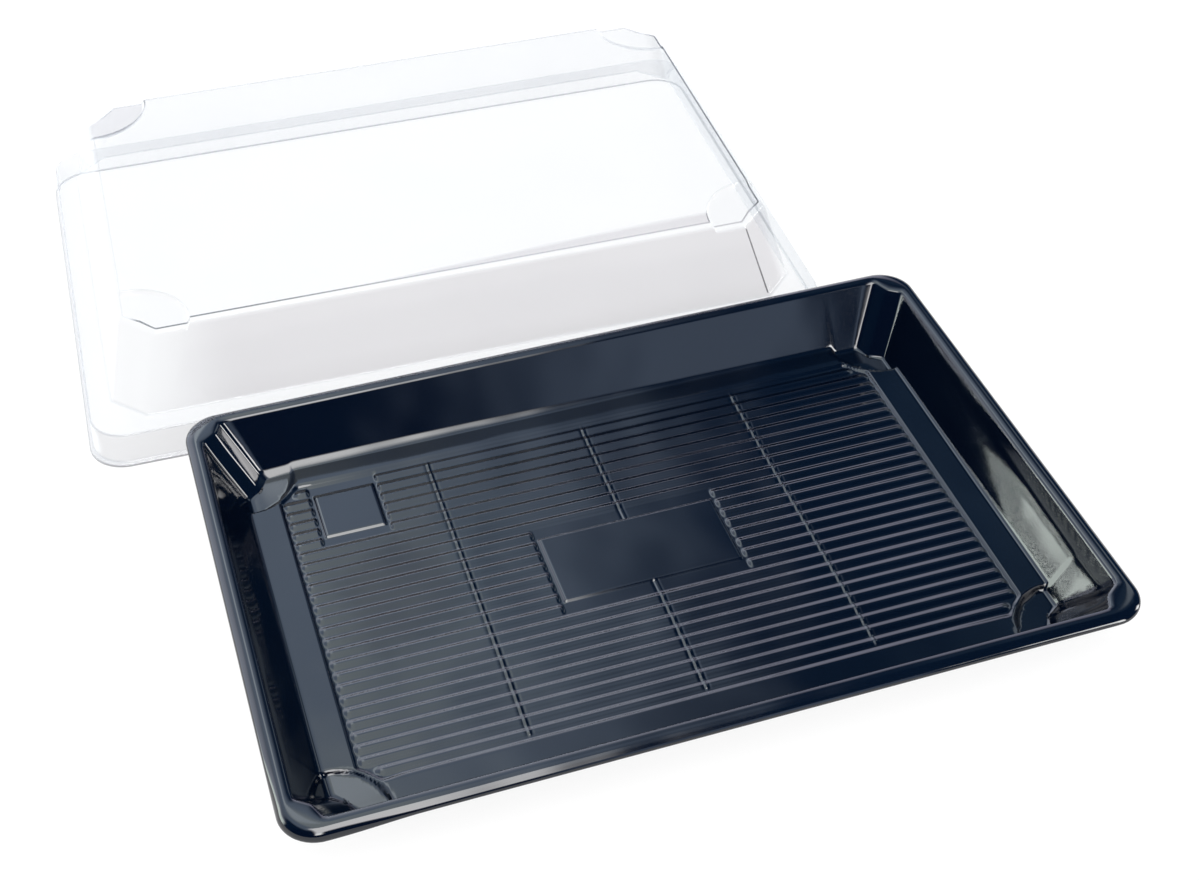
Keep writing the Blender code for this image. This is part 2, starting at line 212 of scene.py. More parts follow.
# The room that the gloss mirrors. Each patch has limits of a direction's parts, each from none to full, its
# colour and its strength. Compass and height are in degrees, anticlockwise from the X axis and up.
ROOM_DARK = "#20436C"
ROOM_PATCHES = (
    ((("y", 0.0, -0.3), ("x", 0.30, 0.02)), "#0A2350", 1.0),
    ((("x", 0.28, 0.45), ("y", 0.2, 0.35), ("height", 33.0, 39.0)), "#5E7D9E", 1.0),
    ((("x", 0.33, 0.08), ("x", -0.6, -0.4), ("y", -0.1, 0.2)), "#CFE4FF", 1.8),
    ((("x", 0.33, 0.08), ("x", -0.6, -0.4), ("y", -0.45, -0.2), ("z", 0.75, 0.9)), "#CFE4FF", 1.8),
    ((("x", 0.18, 0.02), ("x", -0.3, -0.15), ("y", -0.45, -0.2), ("z", 0.74, 0.86)), "#DCE8EC", 3.0),
    ((("x", -0.3, -0.5), ("y", 0.2, 0.45)), "#D8E9FF", 1.6),
    ((("x", 0.02, -0.03), ("x", -0.22, -0.12), ("y", 0.38, 0.48), ("height", 20.0, 30.0)), "#E2EEF8", 4.0),
    ((("height", 36.0, 25.0), ("y", 0.36, 0.5), ("x", 0.52, 0.44)), "#E4E6FF", 1.7),
    ((("height", 38.0, 24.0), ("x", 0.32, 0.12), ("y", 0.1, 0.3)), "#E6EEFF", 2.6),
    ((("height", 40.0, 25.0), ("y", -0.5, -0.75), ("x", 0.1, 0.28), ("x", 0.39, 0.33)), "#C8DEFF", 1.3),
    ((("compass", -64.0, -59.0), ("compass", -46.0, -51.0), ("height", 2.0, 8.0), ("height", 36.0, 30.0)),
     "#FFFFFF", 14.0),
    ((("compass", -8.0, -4.0), ("compass", 7.0, 3.0), ("height", 2.0, 8.0), ("height", 30.0, 22.0)),
     "#FFFFFF", 12.0),
    ((("x", 0.46, 0.56), ("y", 0.35, 0.45), ("height", 24.0, 31.0)), "#DFF0FF", 1.4),
    ((("compass", -116.0, -110.0), ("compass", -94.0, -100.0),
      ("height", 16.0, 22.0), ("height", 40.0, 34.0)), "#FFFFFF", 12.0),
    ((("x", 0.24, 0.08), ("x", -0.4, -0.25), ("y", -0.88, -0.74), ("y", -0.03, -0.10), ("z", 0.45, 0.6)),
     "#FFFFFF", 9.0),
    ((("compass", 139.0, 143.0), ("compass", 176.0, 164.0), ("height", -1.0, 1.5), ("height", 28.0, 16.0)),
     "#F4FFF8", 7.0),
)


def smooth(x):
    """A soft step: three times x squared less twice x cubed, with x held between 0 and 1."""
    x = np.clip(x, 0.0, 1.0)
    return x * x * (3 - 2 * x)


def colour(code, strength=1.0):
    """An sRGB hex colour as linear values.

    A part above 0.04045 is, with 0.055 added and divided by 1.055, raised to the power 2.4. One below it is
    divided by 12.92.
    """
    parts = np.array([int(code[start:start + 2], 16) for start in (1, 3, 5)]) / 255
    linear = np.where(parts <= 0.04045, parts / 12.92, ((parts + 0.055) / 1.055) ** 2.4)
    return (*(linear * strength), 1.0)


def curve_point(start, bend_point, end, share):
    """A point of the curve that leaves the start towards the bend point and reaches the end from there.

    The three are weighed by one less the share, squared, by twice the share times one less the share, and
    by the share squared.
    """
    return (1 - share) ** 2 * start + 2 * share * (1 - share) * bend_point + share ** 2 * end


def line_strength(distance):
    """How dark a painted line is at a distance: e to the power of minus the square of distance over
    LINE_HALF.
    """
    return np.exp(-(distance / LINE_HALF) ** 2)


def lifted(ring, level):
    """The points of a flat ring at a level, or at a level of their own each."""
    return np.concatenate([ring, np.broadcast_to(level, len(ring))[:, None]], -1)


def corner_shape(share, legs, bend):
    """Offsets from the sharp corner along a corner curve, for shares from 0 at the X side to 1 at the Y side.

    It goes from the quarter ellipse, leg times one less the cosine or sine, towards the straight chamfer
    between the same ends, by the bend up to 1. A bend over 1 folds the chamfer inwards at its middle, by
    that many millimetres more, as a tent of two straight slopes with a rounded ridge.
    """
    angle = share * math.pi / 2
    round_part = np.stack([legs[0] * (1 - np.cos(angle)), legs[1] * (1 - np.sin(angle))], -1)
    flat_part = np.stack([legs[0] * share, legs[1] * (1 - share)], -1)
    curve = round_part + (flat_part - round_part) * min(bend, 1.0)
    ridge = 0.14
    tent = math.hypot(1, ridge) - np.hypot(2 * share - 1, ridge)
    return curve + max(bend - 1, 0.0) / math.sqrt(2) * tent[..., None]


def side_point(along, on_y_side, half, legs, bend, patch, zone, key_leg):
    """Offsets from a ring's sharp corner for points at a distance along a side of the floor patch.

    Within the key leg the point runs round the corner curve. From there to the zone's end it is spread
    evenly along the side, and past the zone it keeps its own coordinate.
    """
    axis = np.where(on_y_side, 0, 1)
    own_half = np.take(half, axis)
    own_leg = np.take(legs, axis)
    patch_half = np.take(patch, axis)
    share = np.clip(along / key_leg, 0, 1) / 2
    curve = corner_shape(np.where(on_y_side, 0.5 + share, 0.5 - share), legs, bend)
    ease = np.clip((along - key_leg) / (zone - key_leg), 0, 1)
    spread = own_leg + (own_half - patch_half + zone - own_leg) * ease
    straight = np.where(along > zone, own_half - patch_half + along, spread)
    nothing = np.zeros_like(straight)
    on_y = np.stack([straight, nothing], -1)
    on_x = np.stack([nothing, straight], -1)
    on_side = np.where(on_y_side[..., None], on_y, on_x)
    return np.where((along < key_leg)[..., None], curve, on_side)


def eased_side_point(along, on_y_side, crease, **ring):
    """side_point with the crease at the corner curve's end rounded by a quadratic curve."""
    key_leg = ring["key_leg"]
    share = np.clip((along - key_leg + crease) / (2 * crease), 0, 1)[..., None]
    places = (key_leg - crease, key_leg, key_leg + crease)
    start, middle, end = (side_point(np.full_like(along, place), on_y_side, **ring) for place in places)
    rounded = curve_point(start, middle, end, share)
    plain = side_point(along, on_y_side, **ring)
    return np.where((np.abs(along - key_leg) < crease)[..., None], rounded, plain)


def ring_points(border, half, legs, bend, patch, zone, key_leg, crease):
    """The outline of one ring: each border point of the patch is carried to the ring's own side or corner."""
    sign = np.where(border < 0, -1.0, 1.0)
    gap = patch - np.abs(border)
    on_y_side = gap[:, 1] <= gap[:, 0]
    along = np.where(on_y_side, gap[:, 0], gap[:, 1])
    ring = {"half": half, "legs": legs, "bend": bend, "patch": patch, "zone": zone, "key_leg": key_leg}
    offset = eased_side_point(along, on_y_side, crease, **ring)
    return (half - offset) * sign


def patch_points(xs, ys, legs, bend, zone, key_leg, crease, square_from):
    """A grid of points whose lines turn into arcs about each sharp corner inside the corner zones.

    In a zone the larger of the two gaps to the sides picks an arc, between a point of each side or corner
    curve, and the smaller one the place on it, in polar terms. From a given gap on, the arcs become square
    again.
    """
    half = np.array([xs[-1], ys[-1]])
    grid = np.stack(np.meshgrid(xs, ys, indexing="ij"), -1)
    sign = np.where(grid < 0, -1.0, 1.0)
    gap = half - np.abs(grid)
    larger = gap.max(-1)
    smaller = gap.min(-1)
    ratio = smaller / np.maximum(larger, 1e-9)
    first = gap[..., 0] >= gap[..., 1]
    place = np.where(first, 0.5 * ratio, 1 - 0.5 * ratio)
    place = np.where(larger < 1e-9, 0.5, place)
    ring = {"half": half, "legs": legs, "bend": bend, "patch": half, "zone": zone, "key_leg": key_leg}
    yes = np.ones(larger.shape, bool)
    start = eased_side_point(larger, yes, crease, **ring)
    end = eased_side_point(larger, ~yes, crease, **ring)
    reach = [np.linalg.norm(point, axis=-1) for point in (start, end)]
    turn = [np.arctan2(point[..., 1], point[..., 0]) for point in (start, end)]
    radius = reach[0] + (reach[1] - reach[0]) * place
    angle = turn[0] + (turn[1] - turn[0]) * place
    polar = np.stack([radius * np.cos(angle), radius * np.sin(angle)], -1)
    square = smooth((larger - square_from) / (zone - square_from))[..., None]
    bent = polar + (gap - polar) * square
    offset = np.where((larger < zone)[..., None], bent, gap)
    return (half - offset) * sign


def border_order(count_x, count_y):
    """Row and column numbers round a grid's border, anticlockwise from its lowest corner."""
    along_x = np.arange(count_x)
    along_y = np.arange(count_y)
    last_x = np.full(count_y - 1, count_x - 1)
    last_y = np.full(count_x - 1, count_y - 1)
    first_x = np.zeros(count_y - 1, int)
    first_y = np.zeros(count_x - 1, int)
    rows = np.concatenate([along_x[:-1], last_x, along_x[:0:-1], first_x])
    columns = np.concatenate([first_y, along_y[:-1], last_y, along_y[:0:-1]])
    return rows, columns


def sheet_mesh(name, grid, rings, marks=None):
    """An object from a grid of points and the rings round it, the first ring next to the grid's border.

    The grid's quads join neighbouring rows and columns, and each ring's quads join it to the ring before.
    Marks are named numbers, one for each point in the same order.
    """
    count_x, count_y = grid.shape[:2]
    numbers = np.arange(count_x * count_y).reshape(count_x, count_y)
    corners = [numbers[:-1, :-1], numbers[1:, :-1], numbers[1:, 1:], numbers[:-1, 1:]]
    quads = [np.stack(corners, -1).reshape(-1, 4)]
    rows, columns = border_order(count_x, count_y)
    before = numbers[rows, columns]
    total = count_x * count_y
    for ring in rings:
        here = np.arange(total, total + len(ring))
        quads.append(np.stack([before, here, np.roll(here, -1), np.roll(before, -1)], -1))
        before = here
        total += len(ring)
    points = np.concatenate([grid.reshape(-1, 3)] + list(rings)) * MM
    faces = np.concatenate(quads)
    mesh = bpy.data.meshes.new(name)
    mesh.vertices.add(len(points))
    mesh.vertices.foreach_set("co", points.ravel())
    mesh.loops.add(faces.size)
    mesh.loops.foreach_set("vertex_index", faces.ravel())
    mesh.polygons.add(len(faces))
    mesh.polygons.foreach_set("loop_start", np.arange(0, faces.size, 4))
    mesh.update(calc_edges=True)
    mesh.polygons.foreach_set("use_smooth", np.ones(len(faces), bool))
    for mark, values in (marks or {}).items():
        mesh.attributes.new(mark, "FLOAT", "POINT").data.foreach_set("value", values.astype(np.float32))
    made = bpy.data.objects.new(name, mesh)
    bpy.context.scene.collection.objects.link(made)
    return made


def add_thickness(made, thickness):
    """Gives an open sheet its thickness under the face that it shows."""
    solid = made.modifiers.new("sheet thickness", "SOLIDIFY")
    solid.thickness = thickness * MM
    solid.offset = -1.0


def lines_near(places, offsets):
    """Grid lines at given offsets from each of several places."""
    return (np.asarray(places)[:, None] + np.asarray(offsets)[None, :]).ravel()


def tidy_lines(lines, limit, least):
    """Sorted grid lines within a limit on both sides, with any that crowd the one before left out."""
    kept = [-limit]
    for line in np.sort(np.asarray(lines)):
        if line - kept[-1] >= least and limit - line >= least:
            kept.append(line)
    return np.array(kept + [limit])


def rib_places():
    """The middles of the mat's ribs, front to back."""
    return RIB_PITCH * (np.arange(RIB_COUNT) - (RIB_COUNT - 1) / 2)


def field_depth(x, y):
    """How far inside the field's edge a point lies, as the least gap to its sides and its cut corners."""
    gap = FIELD_HALF - np.abs(np.stack([x, y], -1))
    cut = (gap.sum(-1) - FIELD_CORNER) / math.sqrt(2)
    return np.minimum(gap.min(-1), cut)


def rib_stretches(middle):
    """The stretches of one rib that the plates leave, each with how round its two ends are."""
    edge = FIELD_HALF[0] - RIB_END_GAP
    cut = FIELD_HALF.sum() - FIELD_CORNER - abs(middle) - RIB_PITCH / 2
    reach = min(edge, cut)
    stretches = []
    start, start_round = -reach, RIB_END
    for left, front, right, back in (CORNER_PLATE, CENTRE_PLATE):
        if middle + RIB_PITCH / 2 > front - PLATE_GAP and middle - RIB_PITCH / 2 < back + PLATE_GAP:
            stretches.append((start, left - PLATE_GAP, start_round, RIB_END_AT_PLATE))
            start, start_round = right + PLATE_GAP, RIB_END_AT_PLATE
    stretches.append((start, reach, start_round, RIB_END))
    return stretches


def mat_height(x, y):
    """The mat's relief below the level band.

    Each rib is half a wave, 0.5 plus 0.5 times the cosine of how far off its middle line or past its end a
    point is, and the ribs touch in their valleys. Strings are thin half-round cords that ride over the
    ribs in a slight dip, the root of one less their share of the half width squared. Plates are flat tops
    with short sloping sides, in a moat at which the ribs end. The field's edge is steeper at its two ends
    than along its sides.
    """
    edge = FIELD_EDGE[1] + (FIELD_EDGE[0] - FIELD_EDGE[1]) * smooth((np.abs(x) - 125) / 12)
    bed = -FIELD_SINK * smooth(field_depth(x, y) / edge)
    height = bed.copy()
    for middle in rib_places():
        across = np.abs(y - middle) / (RIB_PITCH / 2)
        for start, end, start_round, end_round in rib_stretches(middle):
            before = np.clip((start + start_round - x) / start_round, 0, None)
            after = np.clip((x - end + end_round) / end_round, 0, None)
            off = np.clip(np.hypot(across, np.maximum(before, after)), 0, 1)
            rib = RIB_VALLEY + (RIB_CREST - RIB_VALLEY) * (0.5 + 0.5 * np.cos(math.pi * off))
            along = (x >= start) & (x <= end) & (across <= 1)
            height = np.where(along, np.maximum(height, rib), height)
    for place in (-STRING_SPACING, 0.0, STRING_SPACING):
        off = np.abs(x - place)
        inside = smooth((field_depth(x, y) - FIELD_EDGE[1]) / 1.5)
        round_part = np.sqrt(np.clip(1 - (off / STRING_HALF) ** 2, 0, None))
        dip = STRING_DIP * (1 - smooth((off - STRING_HALF) / (2 * STRING_HALF)))
        height = height + inside * (STRING_RISE * round_part - dip)
    for left, front, right, back in (CENTRE_PLATE, CORNER_PLATE):
        gap = np.minimum(np.minimum(x - left, right - x), np.minimum(y - front, back - y))
        beside = PLATE_MOAT + (height - PLATE_MOAT) * smooth(-gap / PLATE_GAP)
        top = PLATE_MOAT + (PLATE_TOP - PLATE_MOAT) * smooth(gap / PLATE_EDGE)
        height = np.where(gap > 0, top, np.where(gap > -PLATE_GAP, np.minimum(beside, height), height))
    return height


def foot_share(x, y, corner):
    """How far a point is down in a corner foot: 0 outside its quarter circle and 1 on its bottom."""
    reach = np.hypot(corner[0] - np.abs(x), corner[1] - np.abs(y))
    return smooth((FOOT_RADIUS - reach) / FOOT_DRAFT)


def tray_lines(half):
    """The tray floor's grid lines, set close at the ribs, strings, plates, feet and corners.

    Eight lines to a rib, and past the strings, the plates and the field's ends there is always a line
    more, so that the flat beside them is shaded flat. The wide gaps between are left to a few lines.
    """
    rib_lines = lines_near(rib_places(), np.arange(-4, 4) * RIB_PITCH / 8)
    plate_sides = (CENTRE_PLATE[1], CENTRE_PLATE[3], CORNER_PLATE[1], CORNER_PLATE[3])
    plate_lines = lines_near(plate_sides, (0.0, 0.6))
    edges = np.arange(FIELD_HALF[1] - 1, half[1] + 6, 1.15)
    corner_lines = half[1] - np.array([0.35, 0.7, 1.4])
    ys = np.concatenate([rib_lines, [FIELD_HALF[1] - 1.5], plate_lines, edges, -edges, corner_lines])
    string_offsets = (-2.6, -1.8, -1.1, -0.6, -0.4, 0.0, 0.4, 0.6, 1.1, 1.8, 2.6)
    string_lines = lines_near((-STRING_SPACING, 0.0, STRING_SPACING), string_offsets)
    inwards = np.array([-3.0, -2.2, -1.7, -1.2, -0.6, 0.0, 0.5, 1.0, 1.8])
    left_lines = lines_near((CENTRE_PLATE[0], CORNER_PLATE[0]), inwards)
    right_lines = lines_near((CENTRE_PLATE[2], CORNER_PLATE[2]), -inwards)
    field_lines = FIELD_HALF[0] + np.array([-3.4, -2.6, -1.7, -1.0, -0.45, 0.0, 0.6])
    end_lines = np.concatenate([left_lines, right_lines, field_lines, -field_lines])
    foot_start = half[0] - FOOT_RADIUS
    before_end = np.arange(foot_start - 0.6, FIELD_HALF[0] - 4, 1.25)
    past_end = np.arange(FIELD_HALF[0] + 2.0, half[0], 1.5)
    fine = np.concatenate([before_end, past_end])
    fill = np.arange(-132.0, 133.0, 22.0)
    xs = np.concatenate([string_lines, end_lines, fine, -fine, fill])
    return tidy_lines(xs, half[0], 0.2), tidy_lines(ys, half[1], 0.2)


def lip_drop(points):
    """How much lower the lip hangs by the front left corner, in a soft hump."""
    along_front = (points[:, 0] + TRAY_HALF[0] - 10) / LIP_HANG_REACH[0]
    along_left = (points[:, 1] + TRAY_HALF[1] - 8) / LIP_HANG_REACH[1]
    return LIP_HANG * smooth(1.35 - np.hypot(along_front, along_left))


def tray_sheet():
    """The tray's upper face: the floor patch, the fillet, walls with pillars at the corners, and the rim."""
    floor = TRAY_HEIGHT - TRAY_DEPTH
    foot_half = TRAY_HALF - RIM_WIDTH - WALL_RUN
    half = foot_half - FLOOR_FILLET
    floor_legs = PILLAR_LEGS - (2 - math.sqrt(2)) * FLOOR_FILLET
    key_leg = float(floor_legs.mean())
    folded = 1 + PILLAR_FOLD
    xs, ys = tray_lines(half)
    flat = patch_points(xs, ys, floor_legs, folded, PILLAR_ZONE, key_leg, CREASE, PILLAR_SQUARE)
    x, y = flat[..., 0], flat[..., 1]
    sink = foot_share(x, y, half)
    # Each left foot slopes down a little towards the left wall and its own front
    from_front = np.where(y < 0, half[1] + y, y - half[1] + FOOT_RADIUS)
    rise = (x < 0) * (FOOT_TILT[0] * (half[0] + x) + FOOT_TILT[1] * from_front)
    drop = (FOOT_DROP - rise) * sink
    height = floor + mat_height(x, y) - drop
    rows, columns = border_order(len(xs), len(ys))
    border = np.stack([xs[rows], ys[columns]], -1)
    shape = {"patch": half, "zone": PILLAR_ZONE, "key_leg": key_leg, "crease": CREASE}
    foot_ring = ring_points(border, foot_half, PILLAR_LEGS, folded, **shape)
    top_inset, top_drop = RIM_PROFILE[-1][:2]
    top_legs = PILLAR_LEGS * PILLAR_SPREAD
    top_ring = ring_points(border, TRAY_HALF - top_inset, top_legs, folded, **shape)
    sunk = drop[rows, columns]
    slide = (foot_ring - top_ring) * (sunk / TRAY_DEPTH)[:, None]
    # Where a foot lies lower, the walls run further in, and the floor beside them goes with them
    near_wall = smooth(1 - (half - np.abs(flat)).min(-1) / 7)
    corner_slide = drop * near_wall
    flat = flat - np.sign(flat) * (corner_slide[..., None] * WALL_RUN / TRAY_DEPTH)
    floor_ring = flat[rows, columns]
    grid = np.concatenate([flat, height[..., None]], -1)
    start = lifted(floor_ring, floor - sunk)
    corner = lifted(foot_ring + slide, floor - sunk)
    top = lifted(top_ring, TRAY_HEIGHT - top_drop)
    # A sloping strip eases the wall's foot, widest at the left end of the back wall
    along_back = smooth((border[:, 1] - half[1] + 6) / 6) * smooth(0.5 - border[:, 0] / (1.4 * half[0]))
    reach = STRIP_REACH[0] + (STRIP_REACH[1] - STRIP_REACH[0]) * along_back
    strip_start = corner + (start - corner) * (reach / FLOOR_FILLET)[:, None]
    strip_end = corner + (top - corner) * (reach * STRIP_SLOPE / TRAY_DEPTH)[:, None]
    last = corner + (top - corner) * ((reach * STRIP_SLOPE + 0.8) / TRAY_DEPTH)[:, None]
    before = strip_start + (start - strip_start) * 0.5
    rings = []
    for first, bend_point, second in ((before, strip_start, strip_end), (strip_start, strip_end, last)):
        near, far = bend_point + (first - bend_point) * 0.3, bend_point + (second - bend_point) * 0.3
        for share in (0.0, 0.5, 1.0):
            rings.append(curve_point(near, bend_point, far, share))
    # The end walls bow outwards a little, most by the front right corner
    at_end = smooth((np.abs(border[:, 0]) - half[0] + 6) / 6) * np.sign(border[:, 0])
    by_front_right = smooth((border[:, 0] - half[0] + 6) / 6 + 0.7 - (border[:, 1] + half[1]) / 72)
    bow = at_end * (WALL_BOW[0] + WALL_BOW[1] * by_front_right)
    for share in (0.03, 0.18, 0.5, 0.66, 0.82, 0.97):
        ring = last + (top - last) * share
        ring[:, 0] += bow * min(share / BOW_PEAK, (1 - share) / (1 - BOW_PEAK))
        rings.append(ring)
    for inset, drop, leg, bend in RIM_PROFILE[::-1]:
        share = smooth((inset - 3.0) / (top_inset - 3.0))
        legs = leg + (top_legs - leg) * share
        ring_bend = bend + (folded - bend) * share
        points = ring_points(border, TRAY_HALF - inset, legs, ring_bend, **shape)
        hang = lip_drop(points) * smooth((drop - 0.3) / 2.5) * (inset < 2.0)
        twist = RIM_TWIST * max(inset - RIM_CREST, 0.0) * at_end
        rings.append(lifted(points, TRAY_HEIGHT - drop - hang - twist))
    middle = np.array([*TRAY_MIDDLE, 0.0])
    return sheet_mesh("tray_moulding", grid + middle, [ring + middle for ring in rings])


def lid_lines(half):
    """The lid top's grid lines, close at the corner arcs and creases and wide apart on the flat."""
    lines = []
    for axis in (0, 1):
        close = half[axis] - LID_LINES
        fill = np.linspace(-half[axis] + 56, half[axis] - 56, (12, 7)[axis])
        lines.append(tidy_lines(np.concatenate([close, -close, fill]), half[axis], 0.1))
    return lines


def lid_top_marks(gap, flat, sink, half):
    """How dark the painted lines and how grey the painted shade of the lid's top are.

    A pad's riser gets a painted dark hairline: all of the back left one, and the front right one by the front
    edge. The pads are painted grey, the back left one most and the front ones faintly. By the front edge a
    strip that widens to the right is painted grey, a painted dark reflection of the top's edge.
    """
    at_left, at_back = flat[..., 0] < 0, flat[..., 1] > 0
    reach = np.hypot(gap[..., 0], gap[..., 1])
    by_front = smooth((10 - gap[..., 1]) / 4)
    back_line = np.where(at_left, 1.0, 0.0)
    front_line = np.where(at_left, 0.1, 0.1 + 0.9 * by_front)
    line = line_strength(reach - PAD_RADIUS + 0.15) * np.where(at_back, back_line, front_line)
    strip_width = 6.5 * smooth((flat[..., 0] / half[0] + 0.5) / 1.3)
    across = gap[..., 1] / np.maximum(strip_width, 0.01)
    strip = smooth(2 * (1.4 - across)) * smooth(strip_width / 1.5) * ~at_back
    pad_grey = sink * np.where(at_back, np.where(at_left, 0.75, 0.0), 0.12)
    return line, np.maximum(strip * (1 - sink), pad_grey)


def facing(border, half, axis, sign):
    """How much a border point faces one way: 1 on that side, fading to 0 within FACING_REACH of it."""
    return smooth((sign * border[:, axis] - half[axis] + FACING_REACH) / FACING_REACH)


def lid_sheet():
    """The lid's outer face: the top with its four lower corner pads, the dome's walls, ledge, skirt and lip.

    Two marks go with its points. The crease is how dark a painted hairline is there, in place of the shade
    and dark reflections at the film's bends. The wall is how much painted grey shade the film gets, grey and
    dense, from 0 on the top to 1, or below 0 at the back, which is clearer than the top.
    """
    top_level = LEDGE_HEIGHT + DOME_HEIGHT
    foot_half = LID_HALF - DOME_FOOT_INSET
    edge_half = foot_half - DOME_RUN
    half = edge_half - DOME_FILLET
    legs = np.array([DOME_LEG, DOME_LEG])
    top_legs = legs - (2 - math.sqrt(2)) * DOME_FILLET
    key_leg = float(top_legs[0])
    xs, ys = lid_lines(half)
    flat = patch_points(xs, ys, top_legs, 1.0, PAD_ZONE, key_leg, CREASE, PAD_SQUARE)
    gap = half - np.abs(flat)
    reach = np.hypot(gap[..., 0], gap[..., 1])
    sink = smooth((PAD_RADIUS - reach) / PAD_DRAFT)
    crown = LID_CROWN * (1 - (flat[..., 0] / half[0]) ** 2) * (1 - (flat[..., 1] / half[1]) ** 2)
    height = top_level - PAD_DROP * sink - LID_CROWN + crown
    height = np.minimum(height, top_level)
    rows, columns = border_order(len(xs), len(ys))
    border = np.stack([xs[rows], ys[columns]], -1)
    shape = {"patch": half, "zone": PAD_ZONE, "key_leg": key_leg, "crease": CREASE}
    edge_ring = ring_points(border, edge_half, legs, 1.0, **shape)
    foot_ring = ring_points(border, foot_half, legs, 1.0, **shape)
    sunk = PAD_DROP * sink[rows, columns] + LID_CROWN
    near_wall = smooth(1 - gap.min(-1) / 9)
    grow = PAD_DROP * sink * near_wall
    flat = flat + np.sign(flat) * (grow[..., None] * DOME_RUN / DOME_HEIGHT)
    slide = (foot_ring - edge_ring) * ((sunk - LID_CROWN) / DOME_HEIGHT)[:, None]
    grid = np.concatenate([flat, height[..., None]], -1)
    start = lifted(flat[rows, columns], top_level - sunk)
    edge = lifted(edge_ring + slide, top_level - sunk)
    foot = lifted(foot_ring, LEDGE_HEIGHT)
    shoulder = edge + (foot - edge) * 0.065
    heel = foot + (edge - foot) * 0.03
    ledge = lifted(ring_points(border, foot_half + LEDGE_BEND, legs, 1.0, **shape), LEDGE_HEIGHT)
    rings = []
    top_line, top_grey = lid_top_marks(gap, flat, sink, half)
    lines = [top_line.ravel()]
    walls = [top_grey.ravel()]
    facing_front = facing(border, half, 1, -1)
    facing_back = facing(border, half, 1, 1)
    facing_right = facing(border, half, 0, 1) * (1 - facing_front) * (1 - facing_back)
    rightwards = border[:, 0] / half[0]
    # Of the upright creases beside the cut corners only the front right one gets a painted dark hairline
    gap_along = (half - np.abs(border)).max(-1)
    at_front_right = (border[:, 0] > 0) & (border[:, 1] < 0)
    upright = line_strength(gap_along - key_leg) * at_front_right
    # Painted grey shade: the front wall is the greyest, clearer by its left corner,
    # and the back is clearer than the top
    left_end_fade = 0.1 + 0.9 * smooth((border[:, 0] + half[0] - 6) / 42)
    at_front_left = (border[:, 0] < 0) & (border[:, 1] < 0)
    shade_grey = np.where(at_front_left, left_end_fade, 1.0) * (0.28 + 0.72 * facing_front)
    clearer = -0.28 * facing_back
    shade_grey = shade_grey * (1 - facing_back) + clearer
    # The painted hairline along the dome's upper edge is darkest on the right and at the left of the front,
    # and faint on the left
    front_line = facing_front * (1 - 0.6 * smooth(rightwards + 0.7))
    edge_line = np.maximum.reduce([front_line, facing_right, 0.5 * facing_back, np.full(len(border), 0.12)])
    for share, line in EDGE_RINGS:
        rings.append(curve_point(start, edge, shoulder, share))
        lines.append(line * edge_line)
        # A painted grey strip by the front of the upper edge, a painted dark reflection, widening to the
        # right
        edge_strip = 0.75 * facing_front * smooth((rightwards + 0.5) / 1.3) * smooth((0.35 - share) / 0.25)
        walls.append(edge_strip + 0.8 * shade_grey * smooth((share - 0.6) / 0.4))
    for share in (0.02, 0.3, 0.65, 0.98):
        rings.append(shoulder + (heel - shoulder) * share)
        lines.append(upright)
        walls.append(shade_grey)
    for share, line in HEEL_RINGS:
        rings.append(curve_point(heel, foot, ledge, share))
        lines.append(line * (0.12 + 0.5 * facing_back))
        walls.append((1 - share) * shade_grey + share * clearer)
    # Painted grey shade on the ledge, skirt and lip: most at the front, less at the left end, none at the
    # back
    skirt_grey = (0.4 + 0.6 * facing_front) * (0.6 + 0.4 * left_end_fade) * (1 - facing_back)
    for inset, drop, leg, bend, line, wall in SKIRT_RINGS:
        points = ring_points(border, LID_HALF - inset, np.array([leg, leg]), bend, **shape)
        rings.append(lifted(points, LEDGE_HEIGHT - drop))
        lines.append(line * (1 - 0.7 * facing_right))
        walls.append(wall * skirt_grey + clearer)
    cosine, sine = math.cos(LID_TURN), math.sin(LID_TURN)
    turn = np.array([[cosine, sine, 0.0], [-sine, cosine, 0.0], [0.0, 0.0, 1.0]])
    middle = np.array([*LID_MIDDLE, 0.0])
    marks = {"crease": np.concatenate(lines), "wall": np.concatenate(walls)}
    return sheet_mesh("lid_film", grid @ turn + middle, [ring @ turn + middle for ring in rings], marks)


def node(tree, kind, links=None, **settings):
    """Adds a node with its settings, and joins or fills the inputs that links names or numbers."""
    made = tree.nodes.new(kind)
    for name, value in settings.items():
        setattr(made, name, value)
    for slot, source in (links or {}).items():
        if isinstance(source, bpy.types.NodeSocket):
            tree.links.new(source, made.inputs[slot])
        else:
            made.inputs[slot].default_value = source
    return made


def noise(tree, place, scale, detail, roughness):
    """Soft noise from 0 to 1, of about one over scale metres across."""
    settings = {"Vector": place, "Scale": scale, "Detail": detail, "Roughness": roughness}
    return node(tree, "ShaderNodeTexNoise", settings).outputs["Fac"]


def mixed(tree, share, first, second):
    """A mix of two colours: the first where the share is 0 and the second where it is 1."""
    return node(tree, "ShaderNodeMix", {"Factor": share, 6: first, 7: second}, data_type="RGBA").outputs[2]


def worked(tree, operation, *values, **settings):
    """One step of arithmetic on numbers or sockets."""
    return node(tree, "ShaderNodeMath", dict(enumerate(values)), operation=operation, **settings).outputs[0]


